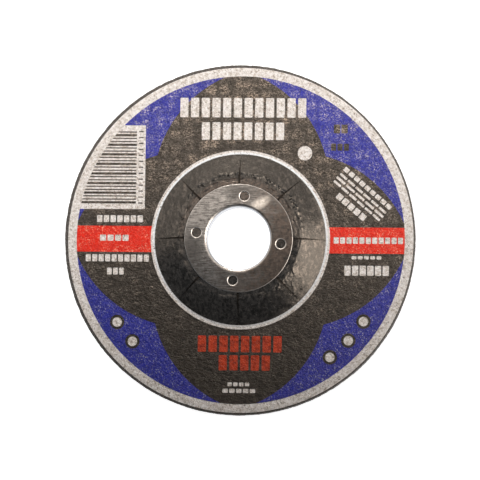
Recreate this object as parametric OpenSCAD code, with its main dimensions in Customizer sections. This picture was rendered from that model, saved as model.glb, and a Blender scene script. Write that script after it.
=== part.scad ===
// Grinding disc with a raised centre, a paper label and a pressed steel centre ring.
// It lies on its grinding face at z = 0, with the hub and the label up. Sizes are in millimetres.

/* [Disc] */
// Outside diameter
disc_d = 125; // [118:1:150]
// Thickness of the flat part, label included
disc_t = 6; // [4:0.1:8]
// Rounding of the moulded outer edges
edge_r = 0.4; // [0.1:0.1:1]

/* [Raised hub] */
// Height of the hub above the flat part
hub_rise = 4.6; // [3:0.1:6]
// Width of the flat land around the centre ring
hub_land = 2.5; // [1:0.1:4]
// Run of the slope from the land out to the flat part
slope_run = 9.4; // [6:0.1:12]
// Rounding where the land turns into the slope
crest_r = 3; // [1:0.1:6]
// Fillet where the slope runs out on the flat part
foot_r = 9; // [2:0.1:14]
// Rounding around the ceiling of the recess under the hub
recess_r = 2; // [0.5:0.1:4]
// Rounding where the grinding face turns up into the recess
heel_r = 5; // [1:0.1:8]

/* [Centre ring] */
// Bore for the spindle
bore_d = 22.23; // [20:0.01:24]
// Outside diameter of the flange
ring_d = 38.6; // [37:0.1:44]
// Thickness of the sheet steel
ring_t = 0.5; // [0.3:0.05:0.8]
// Depth that the flange is pressed into the hub
ring_sink = 0.3; // [0.15:0.05:0.5]
// Outer radius of the bend from the flange into the collar
bend_r = 1.3; // [1:0.1:1.5]
// Rolled edge around the flange
roll_r = 0.25; // [0.05:0.05:0.3]
// Distance that the collar stops short of the recess
collar_short = 0.3; // [0:0.1:1]
// Number of pierced holes
hole_count = 4; // [3:1:8]
// Diameter of a pierced hole
hole_d = 3.2; // [2:0.1:4]
// Distance from the flange's edge to a hole's centre
hole_inset = 4.2; // [3.5:0.1:4.5]
// Drawn-in lip around a pierced hole
hole_lip = 0.4; // [0.1:0.05:0.5]
// Angle of the first hole
hole_turn = 82; // [0:1:90]

/* [Label] */
// Thickness of the paper
label_t = 0.3; // [0.1:0.05:0.5]
// Width of bare abrasive left outside the label
label_inset = 1; // [0.5:0.1:3]
// Number of slits that let the flat paper follow the hub
slit_count = 8; // [4:1:12]
// Width of a slit at the edge of the ring
slit_w = 0.8; // [0.2:0.1:1.5]
// Width of a slit at its outer tip
slit_tip_w = 0.1; // [0.05:0.05:0.2]
// Turn of the label on the disc
label_turn = -0.8; // [-10:0.1:10]

/* [Print] */
// Thickness of the ink
ink_t = 0.1; // [0.05:0.01:0.15]
// Width of the unprinted band around the print
rim_band_w = 3.1; // [1:0.1:5]
// Width of the unprinted line around the foot of the hub
foot_line_w = 1.5; // [0.5:0.1:3]
// Depth of the blue fields, from the edge of the print to their inner corners
blue_depth = 16; // [8:0.5:20]
// Radius of a lobe's curved sides
lobe_side_r = 43; // [32:1:60]
// Width of a lobe where it meets the edge of the print
lobe_tip_w = 12.6; // [4:0.2:20]
// Height of the red band
band_h = 9.3; // [6:0.1:12]
// Height of the striped panel
panel_h = 30; // [20:1:32]
// Bare margin at each end of the striped panel
panel_margin = 2; // [1:0.1:4]
// Distance from the panel to the line around the foot of the hub
panel_gap = 2.3; // [1:0.1:6]
// Width of the strip beside the stripes that holds the ticks
panel_strip_w = 3.2; // [2.6:0.1:5]
// Height of the dark strip between the panel and the red band
panel_strip_h = 6; // [5:0.1:8]
// Number of stripes
stripe_count = 23; // [8:1:24]
// Width of every third stripe
stripe_w = 0.8; // [0.5:0.1:0.9]
// Width of the other stripes
thin_stripe_w = 0.4; // [0.2:0.1:0.5]
// Number of ticks beside the stripes
tick_count = 13; // [6:1:16]
// Length of a tick
tick_w = 1.6; // [0.8:0.1:2]
// Rounding of the plain marks
mark_r = 0.3; // [0.1:0.05:0.4]
// Gap between the blocks of a tall mark
wide_gap = 0.9; // [0.5:0.1:1.2]
// Gap between the blocks of a low mark
narrow_gap = 0.45; // [0.3:0.05:0.6]
// Height from which a mark counts as tall
tall_mark = 5; // [4:0.1:5.6]
// Diameter of the round marks
dot_d = 5.2; // [4:0.1:6]
// Distance from the edge of the print to the middle of a round mark
dot_inset = 5.8; // [4:0.1:8]
// Width of the ring in a round mark
dot_ring_w = 0.9; // [0.5:0.1:1.2]

/* [Fit] */
// Gap between parts that slip together
fit_gap = 0.1; // [0.05:0.05:0.2]

/* [Hidden] */

$fn = 180;
mark_fn = 24;
arc_steps = 8;
mark_steps = 2;
over = 1;

disc_r = disc_d / 2;
bore_r = bore_d / 2;
ring_r = ring_d / 2;
skin_t = ink_t + label_t;
hub_top = disc_t + hub_rise;
flange_z = hub_top - ring_sink;
flange_top = flange_z + ring_t;
collar_r = bore_r + ring_t;
seat_r = ring_r + fit_gap;
crest_at = ring_r + hub_land;
foot_at = crest_at + slope_run;
slope = atan(hub_rise / slope_run);
label_r = disc_r - label_inset;
label_hole_r = bore_r + bend_r + fit_gap;
print_r = label_r - rim_band_w;
line_in_r = foot_at - foot_line_w / 2;
line_out_r = foot_at + foot_line_w / 2;
band_mid_r = (line_out_r + print_r) / 2;
lobe_corner = (print_r - blue_depth) * [cos(45), sin(45)];
lobe_tip = [sqrt(print_r ^ 2 - (lobe_tip_w / 2) ^ 2), lobe_tip_w / 2];
lobe_side = lobe_tip - lobe_corner;
lobe_sagitta = sqrt(lobe_side_r ^ 2 - (norm(lobe_side) / 2) ^ 2);
lobe_centre = (lobe_tip + lobe_corner) / 2
    + lobe_sagitta * [lobe_side[1], -lobe_side[0]] / norm(lobe_side);
panel_low = band_h / 2 + panel_strip_h;
panel_right = -line_out_r - panel_gap;

// Rows of plain blocks stand where a maker's lettering would be. Each row is
// [across, up, width, height, blocks] from the middle of its side of the printed band.
TOP_MARKS = [
    [0.4, 2, 45, 7, 12],
    [0.4, -6.4, 29.4, 6.3, 8]
];
RED_MARKS = [
    [0.3, 8.1, 29.8, 5.8, 8],
    [2, 1.4, 18.2, 5.4, 5]
];
LOW_MARKS = [
    [0, -6.2, 7.8, 1.4, 4],
    [0.2, -8.5, 11.7, 1.5, 5]
];
LEFT_MARKS = [
    [2.1, 7.2, 16.4, 2.5, 7],
    [0.2, 0.4, 10.3, 2.2, 4],
    [1.4, -6.8, 22.6, 2.6, 10],
    [0.8, -11.5, 6, 2.5, 3]
];
RIGHT_MARKS = [
    [0.3, 0, 24.6, 2.3, 11],
    [-0.3, -6.1, 10.6, 1.2, 5],
    [-0.2, -10.7, 15.8, 3.6, 6]
];
SLANT_MARKS = [
    [1.1, 3.4, 21.8, 1.7, 9],
    [1.1, 1, 21.6, 0.9, 6],
    [1.1, -0.7, 22, 0.9, 5],
    [1.1, -2.4, 21.6, 0.9, 6],
    [1.1, -5.4, 13, 2.3, 5]
];
slant_at = 21.8;
slant_turn = -40.6;
// Dark rows on the blue, from the middle of the round marks' circle at an angle
DARK_MARKS = [
    [-1.3, 1.9, 5, 3.2, 2],
    [-1.5, -4.6, 6.4, 2.6, 3]
];
dark_at = 46;
DOT_ANGLES = [214.3, 223.9, 326.9, 317.5, 307.9];
// Place of the pale dot, from the middle of the disc
pale_dot = [22.6, 31];

// Arc of the given radius about [r, z], from one angle to another
function arc(r, z, radius, from, to, steps = arc_steps) = [
    for (i = [0 : steps])
        let (a = from + (to - from) * i / steps)
        [r + radius * cos(a), z + radius * sin(a)]
];

// Corner where the hub's flat turns down into the slope, at a depth below the printed face
function crest_arc(depth, radius) = arc(
    crest_at - (depth + radius) * tan(slope / 2),
    hub_top - depth - radius,
    radius, 90, 90 - slope
);

// Corner where the slope runs out on the flat, at a depth below the printed face
function foot_arc(depth, radius) = arc(
    foot_at - (depth - radius) * tan(slope / 2),
    disc_t - depth + radius,
    radius, 270 - slope, 270
);

// Face of the dished disc at a depth below the print, with the seat pressed in for the ring
function face_line(inner_r, outer_r, depth) = concat(
    [
        [inner_r, flange_z - depth],
        [seat_r + depth, flange_z - depth],
        [seat_r + depth, hub_top - depth]
    ],
    crest_arc(depth, crest_r - depth),
    foot_arc(depth, foot_r + depth),
    [[outer_r, disc_t - depth]]
);

function reversed(points) = [for (i = [len(points) - 1 : -1 : 0]) points[i]];

module skin(inner_r, outer_r, top, bottom) {
    rotate_extrude()
        polygon(concat(
            face_line(inner_r, outer_r, top),
            reversed(face_line(inner_r, outer_r, bottom))
        ));
}

module slits() {
    inner_r = label_hole_r - over;
    tip_r = line_in_r - fit_gap;
    taper = (slit_w - slit_tip_w) / (tip_r - ring_r);
    inner_w = slit_tip_w + taper * (tip_r - inner_r);
    for (i = [0 : slit_count - 1])
        rotate(i * 360 / slit_count)
            polygon([
                [inner_r, -inner_w / 2],
                [tip_r, -slit_tip_w / 2],
                [tip_r, slit_tip_w / 2],
                [inner_r, inner_w / 2]
            ]);
}

module block(width, height) {
    x = width / 2 - mark_r;
    y = height / 2 - mark_r;
    polygon(concat(
        arc(x, y, mark_r, 0, 90, mark_steps),
        arc(-x, y, mark_r, 90, 180, mark_steps),
        arc(-x, -y, mark_r, 180, 270, mark_steps),
        arc(x, -y, mark_r, 270, 360, mark_steps)
    ));
}

module mark(m) {
    gap = m[3] < tall_mark ? narrow_gap : wide_gap;
    pitch = (m[2] + gap) / m[4];
    for (i = [0 : m[4] - 1])
        translate([m[0] + (i - (m[4] - 1) / 2) * pitch, m[1]])
            block(pitch - gap, m[3]);
}

module marks(list) {
    for (m = list)
        mark(m);
}

module printed_band() {
    difference() {
        circle(r = print_r);
        circle(r = line_out_r);
    }
}

module lobes() {
    for (a = [0 : 90 : 270])
        rotate(a)
            intersection_for (side = [-1, 1])
                translate([lobe_centre[0], side * lobe_centre[1]])
                    circle(r = lobe_side_r);
}

module red_band() {
    square([disc_d, band_h], center = true);
}

module panel() {
    translate([-disc_r, panel_low])
        square([disc_r + panel_right, panel_h]);
}

module stripes() {
    pitch = (panel_h - 2 * panel_margin - stripe_w) / (stripe_count - 1);
    intersection() {
        circle(r = print_r);
        for (i = [0 : stripe_count - 1]) {
            w = i % 3 == 0 ? stripe_w : thin_stripe_w;
            translate([-disc_r, panel_low + panel_margin + stripe_w / 2 + i * pitch - w / 2])
                square([disc_r + panel_right - panel_strip_w, w]);
        }
    }
}

module ticks() {
    pitch = (panel_h - 2 * panel_margin - thin_stripe_w) / (tick_count - 1);
    for (i = [0 : tick_count - 1])
        translate([
            panel_right - (panel_strip_w + tick_w) / 2,
            panel_low + panel_margin + i * pitch
        ])
            square([tick_w, thin_stripe_w]);
}

module dot_places() {
    for (a = DOT_ANGLES)
        rotate(a)
            translate([print_r - dot_inset, 0])
                children();
}

module white_marks() {
    translate([0, band_mid_r])
        marks(TOP_MARKS);
    translate([0, -band_mid_r])
        marks(LOW_MARKS);
    translate([-band_mid_r, 0])
        marks(LEFT_MARKS);
    translate([band_mid_r, 0])
        marks(RIGHT_MARKS);
    rotate(slant_at)
        translate([band_mid_r, 0])
            rotate(slant_turn - slant_at)
                marks(SLANT_MARKS);
    translate(pale_dot)
        circle(d = dot_d, $fn = 2 * mark_fn);
}

module dark_marks() {
    rotate(dark_at)
        translate([print_r - dot_inset, 0])
            rotate(-dark_at)
                marks(DARK_MARKS);
}

module red_marks() {
    translate([0, -band_mid_r])
        marks(RED_MARKS);
}

module black_field() {
    intersection() {
        printed_band();
        difference() {
            lobes();
            red_band();
            panel();
            white_marks();
            red_marks();
        }
    }
    stripes();
    ticks();
    dark_marks();
    dot_places()
        difference() {
            circle(d = dot_d, $fn = 2 * mark_fn);
            circle(d = dot_d - 2 * dot_ring_w, $fn = 2 * mark_fn);
        }
}

module blue_field() {
    difference() {
        printed_band();
        lobes();
        panel();
        white_marks();
        dark_marks();
        dot_places()
            circle(d = dot_d, $fn = 2 * mark_fn);
    }
}

module red_field() {
    intersection() {
        printed_band();
        union() {
            difference() {
                red_band();
                white_marks();
            }
            red_marks();
        }
    }
}

module ink() {
    intersection() {
        skin(label_hole_r, print_r, 0, ink_t);
        linear_extrude(hub_top + over)
            children();
    }
}

module abrasive_body() {
    bore = collar_r + fit_gap;
    relief = bend_r - ring_t - fit_gap;
    seat_z = flange_z - skin_t;
    color("dimgray")
        rotate_extrude()
            polygon(concat(
                [[bore, hub_rise], [bore, seat_z - relief]],
                face_line(bore + relief, disc_r - edge_r, skin_t),
                arc(disc_r - edge_r, disc_t - skin_t - edge_r, edge_r, 90, 0),
                arc(disc_r - edge_r, edge_r, edge_r, 0, -90),
                reversed(foot_arc(disc_t, heel_r)),
                reversed(crest_arc(disc_t, recess_r))
            ));
}

module label() {
    color("gainsboro")
        rotate(label_turn)
            difference() {
                skin(label_hole_r, label_r, ink_t, skin_t);
                linear_extrude(hub_top + over)
                    slits();
            }
}

module black_print() {
    color([0.2, 0.18, 0.17])
        rotate(label_turn) {
            ink()
                black_field();
            ink()
                difference() {
                    circle(r = line_in_r);
                    slits();
                }
        }
}

module blue_print() {
    color("mediumblue")
        rotate(label_turn)
            ink()
                blue_field();
}

module red_print() {
    color("orangered")
        rotate(label_turn)
            ink()
                red_field();
}

module hole_cutter() {
    lip = min(hole_lip, ring_t);
    hole_r = hole_d / 2;
    rotate_extrude($fn = 2 * mark_fn)
        polygon(concat(
            [[0, -over], [hole_r, -over]],
            arc(hole_r + lip, ring_t - lip, lip, 180, 90),
            [[hole_r + lip, ring_t + over], [0, ring_t + over]]
        ));
}

module centre_ring() {
    bend_at = bore_r + bend_r;
    collar_low = hub_rise + collar_short;
    color("silver")
        difference() {
            rotate_extrude()
                polygon(concat(
                    [[bore_r, collar_low]],
                    arc(bend_at, flange_top - bend_r, bend_r, 180, 90),
                    arc(ring_r - roll_r, flange_top - roll_r, roll_r, 90, 0),
                    [[ring_r, flange_z]],
                    arc(bend_at, flange_top - bend_r, bend_r - ring_t, 90, 180),
                    [[collar_r, collar_low]]
                ));
            for (i = [0 : hole_count - 1])
                rotate(hole_turn + i * 360 / hole_count)
                    translate([ring_r - hole_inset, 0, flange_z])
                        hole_cutter();
        }
}

abrasive_body();
label();
black_print();
blue_print();
red_print();
centre_ring();
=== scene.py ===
"""Looks of a raised-centre grinding disc with a printed paper label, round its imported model."""

import itertools
import math

import bpy
import numpy as np
from mathutils import Matrix, Vector
from mathutils.bvhtree import BVHTree
from mathutils.geometry import delaunay_2d_cdt
from mathutils.kdtree import KDTree


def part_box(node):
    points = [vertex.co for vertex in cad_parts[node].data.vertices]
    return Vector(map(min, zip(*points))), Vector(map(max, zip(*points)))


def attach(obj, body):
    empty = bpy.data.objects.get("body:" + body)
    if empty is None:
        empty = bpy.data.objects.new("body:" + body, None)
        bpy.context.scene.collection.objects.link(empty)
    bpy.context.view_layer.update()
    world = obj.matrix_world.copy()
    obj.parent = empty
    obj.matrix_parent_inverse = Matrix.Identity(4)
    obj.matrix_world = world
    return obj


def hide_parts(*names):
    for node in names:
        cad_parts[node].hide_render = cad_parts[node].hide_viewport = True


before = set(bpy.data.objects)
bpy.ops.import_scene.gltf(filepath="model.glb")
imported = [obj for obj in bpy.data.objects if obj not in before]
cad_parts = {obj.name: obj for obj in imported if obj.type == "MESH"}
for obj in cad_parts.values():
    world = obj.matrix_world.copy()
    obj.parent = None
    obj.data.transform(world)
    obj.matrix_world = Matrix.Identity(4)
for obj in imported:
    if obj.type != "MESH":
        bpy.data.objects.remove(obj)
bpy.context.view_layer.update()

MM = 0.001
TAU = 2 * math.pi


def high(node, axis):
    """Highest place of a node along an axis, in millimetres."""
    return round(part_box(node)[1][axis] / MM, 2)


# Sizes of the disc in millimetres: what the frame gives, then its section, with the slope of the
# hub in radians
DISC_R = high("abrasive_body", 0)
RING_R = high("centre_ring", 0)
FLANGE_TOP = high("centre_ring", 2)
HUB_TOP = high("black_print", 2)
DISC_T = high("blue_print", 2)
HUB_RISE = HUB_TOP - DISC_T
CREST_AT = 21.8
FOOT_AT = 31.2
CREST_R = 3.0
FOOT_R = 9.0
RECESS_R = 2.0
HEEL_R = 5.0
EDGE_R = 0.4
RING_T = 0.5
FIT_GAP = 0.1
SEAT_R = RING_R + FIT_GAP
FLANGE_Z = FLANGE_TOP - RING_T
BODY_BORE_R = 11.715
BORE_RELIEF = 0.7
LABEL_R = 61.5
PRINT_R = 58.4
LINE_R = FOOT_AT
INK_T = 0.1
PAPER_T = 0.3
BED = INK_T + PAPER_T
SLOPE = math.atan(HUB_RISE / (FOOT_AT - CREST_AT))

# Pierced holes of the ring, in millimetres and degrees, and the painted highlight on the lip round
# each
HOLE_R = 1.6
HOLE_LIP = 0.45
HOLE_LIP_FADE = 0.15
HOLE_AT = 15.1
HOLE_COUNT = 4
HOLE_TURN = 82

# Relief of the label, in millimetres and degrees. On the flat: the grains, fibres, swells and
# mesh. On the hub: its waves, the pleats at the crest, the wrinkles inside it and the creases.
GRAIN = 1.0
GRAIN_RISE = 0.075
FIBRE = 0.8
FIBRE_RISE = 0.02
SWELL = 7.0
SWELL_RISE = 0.05
MESH_PITCH = 4.9
MESH_TURN = 6
MESH_RISE = 0.035
HUB_WAVE = 6.0
HUB_WAVE_RISE = 0.02
PLEAT_R = 22.9
PLEAT_HALF = 0.5
PLEAT_COUNT = 66
PLEAT_RISE = 1.1
STREAK = 0.8
STREAK_STRETCH = 3.0
STREAK_RISE = 0.3
STEP_IN = 0.05
EDGE_ROLL = 0.12
EDGE_ROLL_W = 0.9
CREASE_HALF = 0.28
CREASES = [
    [0.14, [19.3, -10.6], [19.9, -13.6], [19.0, -15.6], [19.5, -19.5]],
    [0.12, [13.2, -14.9], [14.5, -16.4], [13.7, -18.9]],
    [0.08, [21.5, -12.0], [22.6, -14.6], [22.2, -17.8]],
    [0.07, [16.4, -14.2], [17.4, -15.6], [16.6, -17.0]],
]

# How far the label was glued off the centre of the disc
LABEL_SHIFT = (0.3, -0.15)

# Points of the label: their spacings in millimetres, the distance of their rows and their gap to
# an outline as shares of a spacing, and the radii of their zones
FINE = 0.28
RIM_STEP = 0.4
MIDDLE = 0.45
COARSE = 0.6
ROW_SHARE = 0.88
CLEAR_SHARE = 0.45
SEAT_FROM = 12.6
SLOPE_FROM = 25.6
SLOPE_TO = 32.4
FLAT_FROM = 32.0
RIM_FROM = PRINT_R - 1

# Height over the hub, in millimetres, from which rays look down for a node
RAY_LIFT = 5

# Distance that joins points of a triangulation, and the smallest doubled area that it keeps
JOIN = 1e-4
SLIVER = 1e-7

# Relief of the moulded abrasive, and the spacings of its section, in millimetres
GRIT = 1.0
GRIT_DEPTH = 0.28
GRIT_SWELL = 3.0
GRIT_SWELL_DEPTH = 0.08
BODY_STEP = 0.7
UNDER_STEP = 0.6
BED_STEP = 1.4
BODY_SECTIONS = 600

# Edges that turn by more than this many degrees are sharp
SHARP_ANGLE = 40

# Numbers that mix a cell's place and a seed into a random value, the bits of it that are kept,
# and the cells by which a grid is moved so that all places in it are above 0
HASH_SEED = 2654435761
HASH_START = 97531
HASH_AXES = (73856093, 19349663, 83492791)
HASH_MIX = 0x9E3779B97F4A7C15
HASH_TOP = 0xFFFFFF
CELL_SHIFT = 500

# Spots of the finishes, of the darker low red and of a painted highlight, in millimetres, each a
# centre, a reach and, where it has one, a turn in degrees; and the place up the label, in metres,
# from which its specks fade downwards as painted shading
DULL_SPOTS = [[(0.5, 16.5), (7.5, 3.8)], [(-16.5, -3.0), (4.5, 9.0)]]
HIGHLIGHT_SPOT = [(7.5, 12.2), (5.0, 2.3), 32]
LOW_RED_SPOT = [(0, -43), (22, 12)]
CALM_SPOT = [(0, 28), (22, 12)]
FADE_FROM = 0.045

# Tint of the lights that make the gloss, light of the world, and size and glow of the floor
GLOSS_COLOR = (1.0, 0.83, 0.67)
WORLD_LIGHT = 0.1
FLOOR_SIZE = 6
FLOOR_GLOW = 0.95

# Camera, in degrees and millimetres
VIEW_RIGHT = 4.3
VIEW_BELOW = 5.0
VIEW_DISTANCE = 1500.0
VIEW_WIDTH = 170.4
VIEW_CENTRE = (0.19, -0.25)


def smooth_step(start, end, value):
    """0 before the start, 1 after the end and a smooth rise between them."""
    t = np.clip((value - start) / (end - start), 0, 1)
    return t * t * (3 - 2 * t)


def cell_random(cells, seed):
    """A random value from 0 to 1 for each cell of a grid, the same on every run."""
    mixed = np.full(len(cells), seed * HASH_SEED + HASH_START, dtype=np.uint64)
    for column, factor in zip(cells.T, HASH_AXES):
        mixed ^= column.astype(np.uint64) * np.uint64(factor)
        mixed ^= mixed >> np.uint64(17)
        mixed *= np.uint64(HASH_MIX)
    mixed ^= mixed >> np.uint64(29)
    return (mixed & np.uint64(HASH_TOP)).astype(float) / HASH_TOP


def noise(points, size, seed):
    """Smooth noise from -1 to 1 with bumps of a given size."""
    place = points / size + CELL_SHIFT
    cell = np.floor(place).astype(np.int64)
    part = place - cell
    part = part * part * (3 - 2 * part)
    total = np.zeros(len(points))
    for corner in itertools.product((0, 1), repeat=points.shape[1]):
        weight = np.prod(np.where(corner, part, 1 - part), axis=1)
        total += weight * cell_random(cell + corner, seed)
    return 2 * total - 1


def layered_noise(points, size, seed, layers=3):
    """Noise with finer and fainter noise on top, each layer half as large as the last."""
    return sum(noise(points, size / 2 ** k, seed + k) / 2 ** k for k in range(layers))


def pebbles(points, size, seed):
    """Rounded grains of a given size: 1 on top of a grain, 0 in the gaps between them."""
    place = points / size + CELL_SHIFT
    cell = np.floor(place).astype(np.int64)
    nearest = np.full(len(points), np.inf)
    for step in itertools.product((-1, 0, 1), repeat=points.shape[1]):
        other = cell + step
        centre = other + np.stack(
            [cell_random(other, seed + k) for k in range(points.shape[1])], axis=1
        )
        nearest = np.minimum(nearest, ((place - centre) ** 2).sum(axis=1))
    return np.clip(1 - nearest, 0, 1)


def dish_height(radius, depth=0.0, crest_r=CREST_R, foot_r=FOOT_R):
    """Height of the dished disc's face at a depth below the print, without relief."""
    half = math.tan(SLOPE / 2)
    crest_at = CREST_AT - (depth + crest_r) * half
    foot_at = FOOT_AT - (depth - foot_r) * half
    slope_from = crest_at + crest_r * math.sin(SLOPE)
    slope_to = foot_at - foot_r * math.sin(SLOPE)
    crest_z = HUB_TOP - depth - crest_r
    crest = crest_z + np.sqrt(np.maximum(crest_r ** 2 - (radius - crest_at) ** 2, 0))
    foot_z = DISC_T - depth + foot_r
    foot = foot_z - np.sqrt(np.maximum(foot_r ** 2 - (radius - foot_at) ** 2, 0))
    slope = crest_z + crest_r * math.cos(SLOPE) - (radius - slope_from) * math.tan(SLOPE)
    return np.select(
        [radius < crest_at, radius < slope_from, radius < slope_to, radius < foot_at],
        [HUB_TOP - depth, crest, slope, foot],
        DISC_T - depth,
    )


def distance_to_line(points, line):
    """Distance from each point to a line of straight pieces."""
    best = np.full(len(points), np.inf)
    for start, end in zip(line, line[1:]):
        start, end = np.array(start), np.array(end)
        along = end - start
        t = np.clip((points - start) @ along / (along @ along), 0, 1)
        best = np.minimum(best, np.linalg.norm(points - start - t[:, None] * along, axis=1))
    return best


def pleats(points, radius, angle):
    """A row of small puckers of the paper where it is drawn over the crest of the hub."""
    wander = 0.5 * noise(points, 3.0, seed=21)
    fold = np.abs(np.sin(PLEAT_COUNT * angle / 2 + 2.2 * wander + 0.5 * (radius - PLEAT_R)))
    band = np.exp(-(((radius - PLEAT_R - wander) / PLEAT_HALF) ** 2))
    upper_side = 0.1 + 0.9 * smooth_step(0.15, 0.6, np.sin(angle))
    uneven = np.clip(0.6 + 0.7 * noise(points, 2.2, seed=22), 0.1, 1)
    return PLEAT_RISE * band * upper_side * uneven * (fold - 0.45)


def land_streaks(radius, angle):
    """Fine wrinkles that run round the hub between its crest and the ring."""
    around = np.stack([radius, angle * CREST_AT / STREAK_STRETCH], axis=1)
    fade = 1 - smooth_step(CREST_AT - 0.2, CREST_AT + 1.2, radius)
    fade *= 0.4 + 0.6 * smooth_step(-0.2, 0.6, np.sin(angle))
    return STREAK_RISE * fade * (layered_noise(around, STREAK, seed=61, layers=2) - 0.6)


def mesh_print(points):
    """The glass-fibre mesh below the label, pressed faintly through it."""
    turn = math.radians(MESH_TURN)
    along = points @ [math.cos(turn), math.sin(turn)]
    across = points @ [-math.sin(turn), math.cos(turn)]
    return MESH_RISE * np.cos(TAU * along / MESH_PITCH) * np.cos(TAU * across / MESH_PITCH)


def creases(points):
    """The few long creases of the paper on the hub."""
    wobble = 0.3 * np.stack([noise(points, 1.5, seed) for seed in (31, 32)], axis=1)
    rise = np.zeros(len(points))
    for height, *line in CREASES:
        away = distance_to_line(points + wobble, line)
        rise += height * np.exp(-((away / CREASE_HALF) ** 2))
    return rise


def label_relief(points):
    """Rise of the label's face above the plain dish, at places seen from above."""
    radius = np.hypot(*points.T)
    angle = np.arctan2(points[:, 1], points[:, 0])
    on_flat = smooth_step(FOOT_AT - 2.5, FOOT_AT + 1.5, radius)
    grains = GRAIN_RISE * (pebbles(points, GRAIN, seed=1) - 0.5)
    fibres = FIBRE_RISE * layered_noise(points, FIBRE, seed=5)
    swell = SWELL_RISE * noise(points, SWELL, seed=9) + mesh_print(points)
    hub = HUB_WAVE_RISE * layered_noise(points, HUB_WAVE, seed=12)
    hub += pleats(points, radius, angle)
    hub += creases(points) + land_streaks(radius, angle)
    seated = smooth_step(SEAT_R, SEAT_R + 1.2, radius)
    rolled = EDGE_ROLL * smooth_step(LABEL_R - EDGE_ROLL_W, LABEL_R, radius)
    return on_flat * (grains + fibres + swell) + (1 - on_flat) * seated * hub - rolled


def off_centre(points):
    """Places on the label, moved as it was glued, from the crest of the hub outwards."""
    moved = smooth_step(CREST_AT + 1, FOOT_AT, np.hypot(*points.T))
    return points + moved[:, None] * LABEL_SHIFT


def label_height(points):
    """Height of the label's printed face, pressed into a seat under the ring."""
    radius = np.hypot(*points.T)
    plain = np.where(radius < SEAT_R - STEP_IN, FLANGE_Z, dish_height(radius))
    return np.minimum(plain + label_relief(points), HUB_TOP)


def node_triangles(node):
    """A node's corners in millimetres, doubled ones joined, and its triangles."""
    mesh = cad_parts[node].data
    mesh.calc_loop_triangles()
    places = np.empty(3 * len(mesh.vertices))
    mesh.vertices.foreach_get("co", places)
    corners = np.empty(3 * len(mesh.loop_triangles), dtype=np.int32)
    mesh.loop_triangles.foreach_get("vertices", corners)
    places = np.round(places.reshape(-1, 3) / MM, 3)
    places, joined = np.unique(places, axis=0, return_inverse=True)
    return places, joined.reshape(-1)[corners].reshape(-1, 3)


def rim_edges(triangles):
    """The directed edges that only one triangle has."""
    edges = np.concatenate([triangles[:, [0, 1]], triangles[:, [1, 2]], triangles[:, [2, 0]]])
    _, first, used = np.unique(
        np.sort(edges, axis=1), axis=0, return_index=True, return_counts=True
    )
    return edges[first[used == 1]]


def outline(node, step):
    """Points along the outline of a node's upper faces, seen from above, and their pairs."""
    places, triangles = node_triangles(node)
    a, b, c = (places[triangles[:, k]] for k in range(3))
    facing = np.cross(b - a, c - a)
    upper = facing[:, 2] > 0.5 * np.linalg.norm(facing, axis=1)
    points, pairs = [], []
    for start, end in places[rim_edges(triangles[upper])][:, :, :2]:
        count = max(1, math.ceil(np.linalg.norm(end - start) / step))
        parts = np.linspace(start, end, count + 1)
        pairs += [(len(points) + k, len(points) + k + 1) for k in range(count)]
        points += list(parts)
    return np.array(points), pairs


def rings_of_points(inner_r, outer_r, step, jitter, seed):
    """Points spread evenly between two circles, each moved a little at random."""
    rng = np.random.default_rng(seed)
    rows = []
    for radius in np.arange(inner_r + step / 2, outer_r, ROW_SHARE * step):
        count = int(TAU * radius / step)
        angle = (np.arange(count) + rng.random()) * TAU / count
        rows.append(np.stack([radius * np.cos(angle), radius * np.sin(angle)], axis=1))
    points = np.concatenate(rows)
    return points + jitter * step * rng.uniform(-1, 1, points.shape)


def circle_points(radius, count):
    """Points spread evenly round a circle."""
    angle = np.arange(count) * TAU / count
    return radius * np.stack([np.cos(angle), np.sin(angle)], axis=1)


def node_tree(node):
    """A node's triangles in millimetres, for casting rays at them."""
    places, triangles = node_triangles(node)
    return BVHTree.FromPolygons(places.tolist(), triangles.tolist())


def lies_over(points, tree):
    """Whether each point, seen from above, lies on the node that the tree holds."""
    down = Vector((0, 0, -1))
    above = HUB_TOP + RAY_LIFT
    hits = [tree.ray_cast(Vector((x, y, above)), down)[0] for x, y in points]
    return np.array([hit is not None for hit in hits])


def clear_of(points, others, gap):
    """The points that keep a gap to all the others."""
    tree = KDTree(len(others))
    for k, (x, y) in enumerate(others):
        tree.insert((x, y, 0), k)
    tree.balance()
    return points[[tree.find((x, y, 0))[2] > gap for x, y in points]]


def between(points, inner_r, outer_r):
    """Whether each point lies between two circles."""
    radius = np.hypot(*points.T)
    return (radius > inner_r) & (radius < outer_r)


def triangulate(node, points, step, inner_r, outer_r):
    """Triangles in the plane that fill a node's outline between two radii."""
    edge_points, pairs = outline(node, step)
    kept = between(edge_points, inner_r, outer_r)
    pairs = [pair for pair in pairs if kept[pair[0]] and kept[pair[1]]]
    points = points[between(points, inner_r, outer_r)]
    points = clear_of(points, edge_points, CLEAR_SHARE * step)
    everything = [Vector(p) for p in np.concatenate([edge_points, points])]
    made = delaunay_2d_cdt(everything, pairs, [], 0, JOIN, False)
    places = np.array([tuple(p) for p in made[0]])
    triangles = np.array([f for f in made[2] if len(f) == 3])
    centres = places[triangles].mean(axis=1)
    inside = between(centres, inner_r, outer_r)
    triangles, centres = triangles[inside], centres[inside]
    triangles = triangles[lies_over(centres, node_tree(node))]
    a, b, c = (places[triangles[:, k]] for k in range(3))
    turn = (b - a)[:, 0] * (c - a)[:, 1] - (b - a)[:, 1] * (c - a)[:, 0]
    sound = np.abs(turn) > SLIVER
    triangles, turn = triangles[sound], turn[sound]
    triangles[turn < 0] = triangles[turn < 0][:, ::-1]
    used, renumbered = np.unique(triangles, return_inverse=True)
    return places[used], renumbered.reshape(-1, 3)


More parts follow.
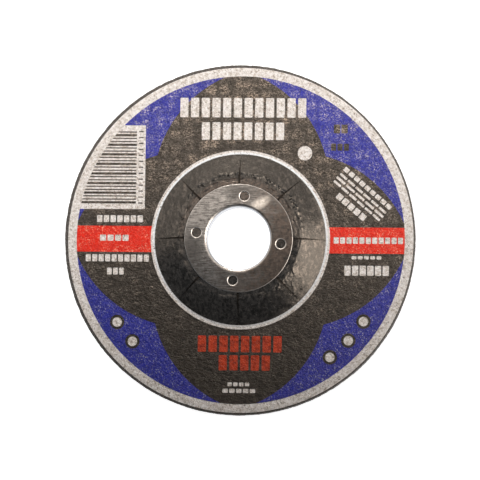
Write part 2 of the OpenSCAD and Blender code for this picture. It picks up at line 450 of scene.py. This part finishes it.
def new_piece(name, places, triangles, material, slot, *nodes):
    """Makes a piece of the object, from places in millimetres, that stands for some nodes."""
    mesh = bpy.data.meshes.new(name)
    mesh.vertices.add(len(places))
    mesh.vertices.foreach_set("co", (places * MM).ravel())
    mesh.loops.add(triangles.size)
    mesh.loops.foreach_set("vertex_index", triangles.ravel().astype(np.int32))
    mesh.polygons.add(len(triangles))
    mesh.polygons.foreach_set("loop_start", np.arange(0, triangles.size, 3, dtype=np.int32))
    mesh.polygons.foreach_set("use_smooth", np.ones(len(triangles), dtype=bool))
    mesh.update(calc_edges=True)
    mesh.validate()
    mesh.set_sharp_from_angle(angle=math.radians(SHARP_ANGLE))
    mesh.materials.append(material)
    piece = bpy.data.objects.new(name, mesh)
    bpy.context.scene.collection.objects.link(piece)
    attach(piece, "root")
    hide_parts(*nodes)


def thin_sheet(name, node, slot, material, points, step, layer=(0.0, INK_T), zone=(0, DISC_R)):
    """Makes a closed thin sheet with the node's outline that follows the label's relief.

    The layer is its depth below the printed face and its thickness, and the zone is the two
    radii that it lies between.
    """
    depth, thickness = layer
    plan, upper = triangulate(node, points, step, *zone)
    plan = off_centre(plan)
    top = label_height(plan) - depth
    count = len(plan)
    places = np.concatenate([np.c_[plan, top], np.c_[plan, top - thickness]])
    edge = rim_edges(upper)
    near = np.stack([edge[:, 1], edge[:, 0], edge[:, 0] + count], axis=1)
    far = np.stack([edge[:, 1], edge[:, 0] + count, edge[:, 1] + count], axis=1)
    triangles = np.concatenate([upper, upper[:, ::-1] + count, near, far])
    new_piece(name, places, triangles, material, slot, node)


def divided(points, step):
    """A line of points with others added so that none are further apart than a step."""
    line = []
    for start, end in zip(points, points[1:]):
        count = max(1, math.ceil(math.dist(start, end) / step))
        line += [tuple(p) for p in np.linspace(start, end, count + 1)[:-1]]
    return line + [tuple(points[-1])]


def edge_arc(centre_z, degrees):
    """Points of the moulded edge's rounding about a height, at some angles."""
    angle = np.radians(degrees)
    return list(zip(DISC_R - EDGE_R + EDGE_R * np.cos(angle), centre_z + EDGE_R * np.sin(angle)))


def body_profile():
    """Section of the abrasive body, from the bore over the label's bed to the grinding face."""
    seat_z = FLANGE_Z - BED
    bore = [(BODY_BORE_R, seat_z - BORE_RELIEF), (BODY_BORE_R + BORE_RELIEF, seat_z)]
    bed_r = np.arange(SEAT_R + BED, LABEL_R - 0.5, BED_STEP)
    label_bed = list(zip(bed_r, dish_height(bed_r, BED)))
    covered = bore + [(SEAT_R + BED, seat_z)] + label_bed[:-1]
    turn = np.arange(0, 91, 22.5)
    side = edge_arc(DISC_T - BED - EDGE_R, 90 - turn)
    foot = edge_arc(EDGE_R, -turn)
    under_r = np.arange(DISC_R - EDGE_R - UNDER_STEP, BODY_BORE_R, -UNDER_STEP)
    under = list(zip(under_r, dish_height(under_r, DISC_T, RECESS_R, HEEL_R)))
    visible = divided([label_bed[-1]] + side + foot + under, BODY_STEP)
    return np.array(covered + visible + [(BODY_BORE_R, HUB_RISE)])


def carried_round(section, count):
    """A section's points or directions, each copied to a number of angles round the axis."""
    across, up = section.T[:, :, None, None]
    plan = across * circle_points(1, count)
    heights = np.broadcast_to(up, (len(up), count, 1))
    return np.concatenate([plan, heights], axis=2).reshape(-1, 3)


def abrasive_body(material):
    """Makes the moulded abrasive, gritty where the label doesn't cover it."""
    profile = body_profile()
    count = BODY_SECTIONS
    ahead = np.roll(profile, -1, axis=0) - np.roll(profile, 1, axis=0)
    normal = np.stack([-ahead[:, 1], ahead[:, 0]], axis=1)
    normal /= np.linalg.norm(normal, axis=1)[:, None]
    places = carried_round(profile, count)
    outward = carried_round(normal, count)
    radius = np.hypot(places[:, 0], places[:, 1])
    hidden = (places[:, 2] > dish_height(radius, DISC_T / 2)) & (radius < LABEL_R - 1.5)
    depth = GRIT_DEPTH * (1 - pebbles(places, GRIT, seed=41))
    depth += GRIT_SWELL_DEPTH * (1 + noise(places, GRIT_SWELL, seed=45))
    places -= outward * (depth * ~hidden)[:, None]
    row = np.arange(len(profile))[:, None] * count
    next_row = np.roll(row, -1, axis=0)
    column = np.arange(count)[None, :]
    next_column = np.roll(column, -1, axis=1)
    a, b, c, d = row + column, row + next_column, next_row + next_column, next_row + column
    quads = np.stack([a, b, c, d], axis=2).reshape(-1, 4)
    triangles = np.concatenate([quads[:, [0, 2, 1]], quads[:, [0, 3, 2]]])
    new_piece("grit_body", places, triangles, material, "abrasive", "abrasive_body")


class Shader:
    """A material whose nodes are added one by one; its finish is one Principled BSDF."""

    def __init__(self, name):
        self.material = bpy.data.materials.new(name)
        self.material.use_nodes = True
        self.tree = self.material.node_tree
        self.finish = self.tree.nodes["Principled BSDF"]
        self.places = self.tree.nodes.new("ShaderNodeTexCoord").outputs["Object"]

    def put(self, socket, value):
        """Links an output to a socket, or sets the socket's own value."""
        if isinstance(value, bpy.types.NodeSocket):
            self.tree.links.new(value, socket)
        elif isinstance(value, tuple) and len(value) == 3 and socket.type == "RGBA":
            socket.default_value = (*value, 1)
        else:
            socket.default_value = value

    def add(self, kind, inputs, output=0, **settings):
        """Adds a node and gives one of its outputs."""
        node = self.tree.nodes.new(kind)
        for key, value in settings.items():
            setattr(node, key, value)
        for key, value in inputs.items():
            self.put(node.inputs[key], value)
        return node.outputs[output]

    def set(self, **values):
        """Sets the finish, with each socket named in small letters and underscores."""
        for key, value in values.items():
            self.put(self.finish.inputs[key.replace("_", " ").title().replace("Ior", "IOR")], value)

    def stretched(self, scale, turn=0.0):
        """Places turned about the axis and scaled along each direction."""
        return self.add(
            "ShaderNodeMapping",
            {"Vector": self.places, "Scale": scale, "Rotation": (0, 0, turn)},
        )

    def away(self, centre, reach, turn=0.0):
        """How far a place seen from above lies from a centre, 1 at the edge of an ellipse."""
        inputs = {
            "Vector": self.places,
            "Location": (centre[0] * MM, centre[1] * MM, 0.0),
            "Rotation": (0.0, 0.0, math.radians(turn)),
            "Scale": (reach[0] * MM, reach[1] * MM, 1000.0),
        }
        moved = self.add("ShaderNodeMapping", inputs, vector_type="TEXTURE")
        return self.add("ShaderNodeVectorMath", {0: moved}, "Value", operation="LENGTH")

    def from_axis(self, radius, centre=(0, 0)):
        """How far a place lies from the axis, or from another centre, 1 at a radius."""
        return self.away(centre, (radius, radius))

    def along(self, direction):
        """A value that rises along a direction by its length in each metre."""
        inputs = {0: self.places, 1: direction}
        return self.add("ShaderNodeVectorMath", inputs, "Value", operation="DOT_PRODUCT")

    def rising(self, direction, level):
        """A value from 0 to 1 that rises along a direction, from a level at the origin."""
        return self.maths("ADD", self.along(direction), level, clamp=True)

    def noise(self, size, detail=2.0, roughness=0.5, places=None, distortion=0.0):
        """Noise from 0 to 1 with bumps of a given size in millimetres."""
        inputs = {
            "Vector": places or self.places,
            "Scale": 1 / (size * MM),
            "Detail": detail,
            "Roughness": roughness,
            "Distortion": distortion,
        }
        return self.add("ShaderNodeTexNoise", inputs)

    def grains(self, size, places=None, randomness=1.0, dimensions="3D"):
        """How far a place lies from the middle of its grain, 1 at a grain's size in millimetres."""
        inputs = {
            "Vector": places or self.places,
            "Scale": 1 / (size * MM),
            "Randomness": randomness,
        }
        return self.add("ShaderNodeTexVoronoi", inputs, "Distance", voronoi_dimensions=dimensions)

    def ramp(self, factor, *stops):
        """Colours or levels between stops, each a place from 0 to 1 and a colour or level."""
        node = self.tree.nodes.new("ShaderNodeValToRGB")
        self.put(node.inputs[0], factor)
        elements = node.color_ramp.elements
        while len(elements) < len(stops):
            elements.new(1)
        for element, (place, value) in zip(elements, stops):
            element.position = place
            element.color = (*value, 1) if isinstance(value, tuple) else (value, value, value, 1)
        return node.outputs[0]

    def mix(self, factor, first, second, blend="MIX"):
        """A colour between two others; the colour sockets are 6 and 7, and their output 2."""
        inputs = {0: factor, 6: first, 7: second}
        return self.add("ShaderNodeMix", inputs, 2, data_type="RGBA", blend_type=blend)

    def maths(self, operation, *values, clamp=False):
        """The result of an operation on outputs and numbers, from 0 to 1 where it is clamped."""
        inputs = dict(enumerate(values))
        return self.add("ShaderNodeMath", inputs, operation=operation, use_clamp=clamp)

    def bump(self, height, distance, strength=1.0, under=None):
        """Bump of a given height in millimetres, on top of another one."""
        inputs = {"Height": height, "Distance": distance * MM, "Strength": strength}
        if under:
            inputs["Normal"] = under
        return self.add("ShaderNodeBump", inputs)


def paper_material():
    """Pale paper, mottled by the resin that the grains press through it, with small dark pits, and
    painted shade on the low part of its foot line and under the hub.
    """
    s = Shader("speckled_paper")
    mottle = s.noise(0.9, 4, 0.7, distortion=0.5)
    tone = s.ramp(
        mottle, (0.34, (0.44, 0.36, 0.29)), (0.47, (0.8, 0.72, 0.66)), (0.63, (1.0, 0.94, 0.9))
    )
    from_centre = s.from_axis(FOOT_AT, LABEL_SHIFT)
    clean = s.ramp(from_centre, (0.9, 0.0), (0.95, 1.0), (1.02, 1.0), (1.06, 0.0))
    # The white line round the hub's foot, with painted shade that greys its lower part, below the
    # hub.
    shaded_foot_line = s.mix(s.rising((0.0, 30.0, 0.0), 1.0), (0.74, 0.7, 0.68), (1.0, 1.0, 1.0))
    tone = s.mix(clean, tone, shaded_foot_line)
    pits = s.ramp(s.noise(0.75, 3, 0.7, distortion=0.8), (0.595, 0.0), (0.64, 1.0))
    patchy = s.ramp(s.noise(5.0, 2), (0.35, 0.3), (0.6, 1.0))
    tone = s.mix(s.maths("MULTIPLY", pits, patchy), tone, (0.2, 0.155, 0.12))
    # Painted shade: the paper under the hub, seen only through the slits, is near-black, and
    # metallic and rough so that it barely reflects.
    under_hub_shade = s.ramp(from_centre, (0.955, 1.0), (0.965, 0.0))
    tone = s.mix(under_hub_shade, tone, (0.012, 0.01, 0.009))
    coarse = s.bump(s.noise(0.8, 3, 0.6), 0.5, 1.0)
    bump = s.bump(s.noise(0.4, 3, 0.6), 0.12, 1.0, coarse)
    rough = s.ramp(under_hub_shade, (0.0, 0.42), (1.0, 1.0))
    s.set(base_color=tone, metallic=under_hub_shade, roughness=rough, normal=bump)
    return s.material


def field_material(
    name, light, dark, speck, speck_level, roughness, specular, fade,
    dim=0.0, streak=1.0, low_red=None,
):
    """Ink on the grainy flat of the label, with specks on the grains that glint.

    The specks fade and their glint dims from the top down, as painted shading. A streak draws the
    mottling out from side to side, and low_red is the two colours of the red where it is darker and
    mottled, low on the label below the hub.
    """
    s = Shader(name)
    across = s.stretched((1 / streak, 1.0, 1.0))
    tone = s.ramp(s.noise(0.9, 4, 0.7, across, 0.4), (0.35, dark), (0.66, light))
    grit = s.maths("ADD", s.noise(0.42, 3, 0.65, across, 1.2), s.along((0.0, 0.5, 0.0)))
    broken = s.ramp(grit, (speck_level, 0.0), (speck_level + 0.05, 1.0))
    patchy = s.ramp(s.noise(6.0, 2), (0.35, 0.4), (0.6, 1.0))
    turned = s.stretched((1.0, 1.0, 1.0), math.radians(-MESH_TURN))
    mesh = s.ramp(s.grains(MESH_PITCH, turned, 0.25, "2D"), (0.25, 1.0), (0.6, 0.3))
    dots = s.ramp(s.grains(1.0), (0.2, 0.9), (0.3, 0.0))
    flecks = s.maths("MAXIMUM", broken, dots)
    flecks = s.maths("MULTIPLY", flecks, s.maths("MULTIPLY", patchy, mesh))
    # Painted shading: the pale specks, which break out a little more often higher up, thin out
    # towards the bottom so that the lower label reads darker.
    flecks = s.maths("MULTIPLY", flecks, s.rising((0.0, fade, 0.0), 1 - FADE_FROM * fade))
    tone = s.mix(flecks, tone, speck)
    if low_red:
        # The red is darker and mottled in an oval low on the label, below the hub.
        low_red_mask = s.ramp(s.away(*LOW_RED_SPOT), (0.9, 0.85), (1.0, 0.0))
        worn = s.mix(s.ramp(s.noise(1.6, 4, 0.7), (0.36, 1.0), (0.54, 0.0)), *low_red)
        tone = s.mix(low_red_mask, tone, worn)
    pits = s.ramp(s.noise(0.6, 2, 0.6), (0.3, 1.0), (0.38, 0.0))
    tone = s.mix(s.maths("MULTIPLY", pits, 0.7), tone, dark, "MULTIPLY")
    # Painted shading: the metallic glint of the specks dims towards the bottom.
    glint = s.maths("MULTIPLY", flecks, s.rising((0.0, dim, 0.0), 1 - FADE_FROM * dim))
    coarse = s.bump(s.noise(0.9, 3, 0.6, across, 0.5), 0.48, 1.0)
    bump = s.bump(s.noise(0.4, 2, 0.6), 0.14, 1.0, coarse)
    s.set(base_color=tone, metallic=glint, roughness=roughness, normal=bump)
    s.set(specular_ior_level=specular)
    return s.material


def hub_material():
    """Black print drawn smooth over the hub, where it is glossy and a little scuffed, with painted
    light as pale specks on the upper part of its land.
    """
    s = Shader("glossy_black_print")
    tone = s.ramp(
        s.noise(4.0, 5, 0.65), (0.35, (0.007, 0.007, 0.0068)), (0.7, (0.02, 0.0192, 0.018))
    )
    # Painted light: pale brown specks on the land inside the crest, only on its upper side, where
    # the light falls.
    lit_upper_land = s.ramp(s.from_axis(CREST_AT), (0.97, 1.0), (1.04, 0.0))
    lit_upper_land = s.maths("MULTIPLY", lit_upper_land, s.rising((0.0, 35.0, 0.0), 0.2))
    land_specks = s.ramp(s.noise(0.8, 4, 0.7), (0.42, 0.0), (0.56, 1.0))
    tone = s.mix(s.maths("MULTIPLY", lit_upper_land, land_specks), tone, (0.1, 0.068, 0.052))
    down = s.stretched((1.0, 0.55, 1.0))
    calm = s.ramp(s.away(*CALM_SPOT), (0.5, 0.5), (1.2, 1.0))
    glaze = s.ramp(s.noise(1.15, 5, 0.75, down, 0.8), (0.46, 0.0), (0.62, 0.7))
    glaze = s.maths("MULTIPLY", glaze, calm)
    tone = s.mix(glaze, tone, (0.14, 0.13, 0.123))
    waves = s.bump(s.noise(2.2, 3, 0.6), 0.11, 0.8)
    bump = s.bump(s.noise(0.55, 3, 0.6), 0.045, 0.9, waves)
    rough = s.ramp(s.noise(1.5, 3, 0.6), (0.3, 0.17), (0.7, 0.33))
    s.set(base_color=tone, metallic=glaze, roughness=rough, normal=bump)
    s.set(specular_ior_level=0.43)
    return s.material


def abrasive_material():
    """Dark resin with paler grains, painted darker still as shade in the slits over the hub."""
    s = Shader("grey_abrasive")
    tone = s.ramp(s.grains(0.8), (0.1, (0.12, 0.108, 0.1)), (0.55, (0.045, 0.04, 0.037)))
    sparks = s.ramp(s.noise(0.5, 2, 0.7), (0.62, 0.0), (0.7, 1.0))
    tone = s.mix(sparks, tone, (0.3, 0.28, 0.26))
    on_hub = s.ramp(s.from_axis(FOOT_AT), (0.75, 0.82), (0.98, 0.6), (1.02, 0.0))
    # Painted shade in the slits over the hub: near-black, and metallic so that it barely reflects.
    slit_shade = s.maths("MULTIPLY", on_hub, s.rising((0.0, 0.0, 2000.0), -10.1))
    tone = s.mix(slit_shade, tone, (0.008, 0.007, 0.006))
    bump = s.bump(s.noise(0.4, 3, 0.7), 0.12, 0.9)
    s.set(base_color=tone, metallic=slit_shade, roughness=0.6, normal=bump)
    return s.material


def steel_material():
    """Sheet steel brushed from side to side, stained and painted with shade low and right, with a
    painted highlight near the bore and painted highlights on its edges.
    """
    s = Shader("brushed_stained_steel")
    brushed = s.noise(0.36, 4, 0.7, s.stretched((0.1, 1.0, 1.0)))
    scratches = s.noise(0.16, 2, 0.6, s.stretched((0.05, 1.0, 1.0), 0.12))
    tone = s.ramp(brushed, (0.34, (0.07, 0.073, 0.08)), (0.66, (0.42, 0.44, 0.47)))
    worn = s.ramp(s.noise(1.1, 4, 0.75), (0.36, 0.6), (0.56, 1.0))
    tone = s.mix(1.0, tone, worn, "MULTIPLY")
    # Real stains in blotches, and painted shade that darkens the steel towards the right and the
    # bottom.
    blotches = s.maths("MULTIPLY_ADD", s.noise(2.6, 4, 0.65), 1.3, -0.3)
    stain_and_shade = s.maths("ADD", blotches, s.along((50.0, -14.0, 0.0)), clamp=True)
    film = s.ramp(
        s.noise(1.3, 5, 0.75), (0.36, (0.03, 0.032, 0.033)), (0.64, (0.125, 0.104, 0.097))
    )
    tone = s.mix(s.maths("MULTIPLY", stain_and_shade, 0.9), tone, film)
    for spot in DULL_SPOTS:
        dull = s.ramp(s.away(*spot), (0.3, 0.68), (1.0, 0.0))
        tone = s.mix(dull, tone, (0.07, 0.073, 0.078))
    # A painted highlight: a near-white wedge out from the bore at the upper right, where brushed
    # steel would reflect the light.
    painted_highlight = s.ramp(s.away(*HIGHLIGHT_SPOT), (0.3, 1.0), (1.0, 0.0))
    tone = s.mix(s.maths("MULTIPLY", painted_highlight, s.noise(0.8, 3)), tone, (0.96, 0.98, 1.0))
    # Painted highlights: brighter steel on the outer edge, round the bore and on the lips of the
    # holes, where rounded edges catch the light.
    edge_highlights = s.ramp(s.from_axis(RING_R), (0.6, 1.0), (0.62, 0.0), (0.984, 0.0), (0.992, 0.6))
    reach = 2 * HOLE_R
    lip_to = (HOLE_R + HOLE_LIP) / reach
    lip_fades = (HOLE_R + HOLE_LIP - HOLE_LIP_FADE) / reach
    for hole in range(HOLE_COUNT):
        turn = math.radians(HOLE_TURN + hole * 360 / HOLE_COUNT)
        centre = (HOLE_AT * math.cos(turn), HOLE_AT * math.sin(turn))
        away = s.from_axis(reach, centre)
        hole_highlight = s.ramp(away, (0.45, 0.0), (0.5, 1.0), (lip_fades, 1.0), (lip_to, 0.0))
        edge_highlights = s.maths("MAXIMUM", edge_highlights, hole_highlight)
    tone = s.mix(s.maths("MULTIPLY", edge_highlights, 0.65), tone, (0.72, 0.75, 0.8))
    bump = s.bump(scratches, 0.015, 0.9, s.bump(brushed, 0.045, 0.9))
    rough = s.ramp(stain_and_shade, (0.0, 0.3), (1.0, 0.42))
    s.set(base_color=tone, metallic=1.0, roughness=rough, normal=bump)
    return s.material


def stage():
    """A pale floor that shows white to the camera and in gloss, and keeps the disc's shadow."""
    bpy.ops.mesh.primitive_plane_add(size=FLOOR_SIZE)
    floor = bpy.context.object
    floor.name = "floor"
    s = Shader("white_floor")
    s.set(base_color=(0.7, 0.7, 0.7), roughness=0.9)
    path = s.tree.nodes.new("ShaderNodeLightPath")
    seen = s.maths("MAXIMUM", path.outputs["Is Camera Ray"], path.outputs["Is Glossy Ray"])
    strength = s.maths("MULTIPLY", seen, FLOOR_GLOW)
    glow = s.add("ShaderNodeEmission", {"Color": (1, 1, 1), "Strength": strength})
    both = s.add("ShaderNodeAddShader", {0: s.finish.outputs[0], 1: glow})
    s.put(s.tree.nodes["Material Output"].inputs["Surface"], both)
    floor.data.materials.append(s.material)


def panel_light(name, place, target, size, radiance, gloss, turn=0):
    """A soft rectangular light in millimetres that makes either the gloss or the rest."""
    data = bpy.data.lights.new(name, "AREA")
    data.shape = "RECTANGLE"
    data.size, data.size_y = (side * MM for side in size)
    data.energy = radiance * math.pi * data.size * data.size_y
    data.color = GLOSS_COLOR if gloss else (1, 1, 1)
    light = bpy.data.objects.new(name, data)
    towards = Vector(target) - Vector(place)
    turned = Matrix.Rotation(math.radians(turn), 4, "Z")
    light.matrix_world = (
        Matrix.Translation(Vector(place) * MM)
        @ towards.to_track_quat("-Z", "Y").to_matrix().to_4x4()
        @ turned
    )
    light.visible_camera = False
    light.visible_glossy = gloss
    light.visible_diffuse = not gloss
    bpy.context.scene.collection.objects.link(light)


def lights():
    """Panels for the plain light and for the gloss, in a world that is white to the camera."""
    panel_light("top_softbox", (-10, 82, 80), (-10, 82, 0), (320, 220), 1.3, gloss=False)
    panel_light("top_gloss", (-35, 151.5, 76), (-35, 151.5, 0), (290, 290), 1.8, gloss=True, turn=6)
    panel_light("glint_gloss", (-20, 295, 84), (-20, 295, 0), (200, 70), 40.0, gloss=True)
    panel_light("side_gloss", (220, -42, 175), (25, 0, 8), (200, 260), 7.3, gloss=True)
    world = bpy.data.worlds.new("studio")
    bpy.context.scene.world = world
    world.use_nodes = True
    tree = world.node_tree
    background = tree.nodes["Background"]
    background.inputs["Color"].default_value = (1, 1, 1, 1)
    path = tree.nodes.new("ShaderNodeLightPath")
    level = tree.nodes.new("ShaderNodeMapRange")
    level.inputs["To Min"].default_value = WORLD_LIGHT
    level.inputs["To Max"].default_value = 1.0
    tree.links.new(path.outputs["Is Camera Ray"], level.inputs["Value"])
    tree.links.new(level.outputs[0], background.inputs["Strength"])


def camera():
    """Looks down on the disc from the photograph's angle, a little from the right and below."""
    data = bpy.data.cameras.new("camera")
    data.lens = data.sensor_width * VIEW_DISTANCE / VIEW_WIDTH
    data.clip_start = 0.01
    back = Vector(
        (math.tan(math.radians(VIEW_RIGHT)), -math.tan(math.radians(VIEW_BELOW)), 1)
    ).normalized()
    right = Vector((0, 1, 0)).cross(back).normalized()
    up = back.cross(right)
    target = Vector((*VIEW_CENTRE, DISC_T))
    place = Matrix.Translation((target + back * VIEW_DISTANCE) * MM)
    eye = bpy.data.objects.new("camera", data)
    eye.matrix_world = place @ Matrix((right, up, back)).transposed().to_4x4()
    bpy.context.scene.collection.objects.link(eye)
    bpy.context.scene.camera = eye


bpy.context.scene.view_settings.view_transform = "Standard"
camera()
lights()
stage()

paper = paper_material()
black = field_material(
    "mottled_black_ink",
    light=(0.042, 0.033, 0.026),
    dark=(0.009, 0.0075, 0.006),
    speck=(0.31, 0.275, 0.245),
    speck_level=0.53,
    roughness=0.3,
    specular=0.3,
    fade=8.0,
    streak=1.7,
)
blue = field_material(
    "speckled_blue_ink",
    light=(0.022, 0.031, 0.4),
    dark=(0.009, 0.013, 0.2),
    speck=(0.36, 0.36, 0.48),
    speck_level=0.56,
    roughness=0.3,
    specular=0.26,
    fade=2.0,
    dim=9.0,
)
red = field_material(
    "mottled_red_ink",
    light=(0.93, 0.019, 0.0),
    dark=(0.7, 0.007, 0.0),
    speck=(0.85, 0.36, 0.26),
    speck_level=0.56,
    roughness=0.36,
    specular=0.2,
    fade=5.0,
    dim=5.0,
    low_red=[(0.5, 0.05, 0.01), (0.16, 0.02, 0.005)],
)

seat_points = rings_of_points(SEAT_FROM, SEAT_R - 0.6, 1.0, jitter=0.0, seed=1)
seat_points = np.concatenate([seat_points, circle_points(SEAT_R - 0.25, count=500)])
crest_points = rings_of_points(SEAT_R + 0.2, SLOPE_FROM, FINE, jitter=0.1, seed=2)
slope_points = rings_of_points(SLOPE_FROM, SLOPE_TO, MIDDLE, jitter=0.1, seed=3)
flat_points = rings_of_points(FLAT_FROM, LABEL_R, MIDDLE, jitter=0.25, seed=4)
coarse_points = rings_of_points(FLAT_FROM, RIM_FROM, COARSE, jitter=0.25, seed=5)
rim_points = rings_of_points(RIM_FROM, LABEL_R, RIM_STEP, jitter=0.25, seed=6)
wide_points = rings_of_points(SEAT_R + 0.3, FLAT_FROM, COARSE, jitter=0.1, seed=7)
paper_points = np.concatenate([seat_points, wide_points, coarse_points, rim_points])
hub_points = np.concatenate([seat_points, crest_points, slope_points])

thin_sheet("paper_label", "label", "paper", paper, paper_points, COARSE, layer=(INK_T, PAPER_T))
thin_sheet(
    "black_hub", "black_print", "black_ink", hub_material(), hub_points, MIDDLE, zone=(0, LINE_R)
)
thin_sheet(
    "black_ink", "black_print", "black_ink", black, flat_points, MIDDLE, zone=(LINE_R, DISC_R)
)
thin_sheet("blue_ink", "blue_print", "blue_ink", blue, flat_points, MIDDLE)
thin_sheet("red_ink", "red_print", "red_ink", red, flat_points, MIDDLE)
abrasive_body(abrasive_material())

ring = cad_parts["centre_ring"]
ring.material_slots[0].material = steel_material()
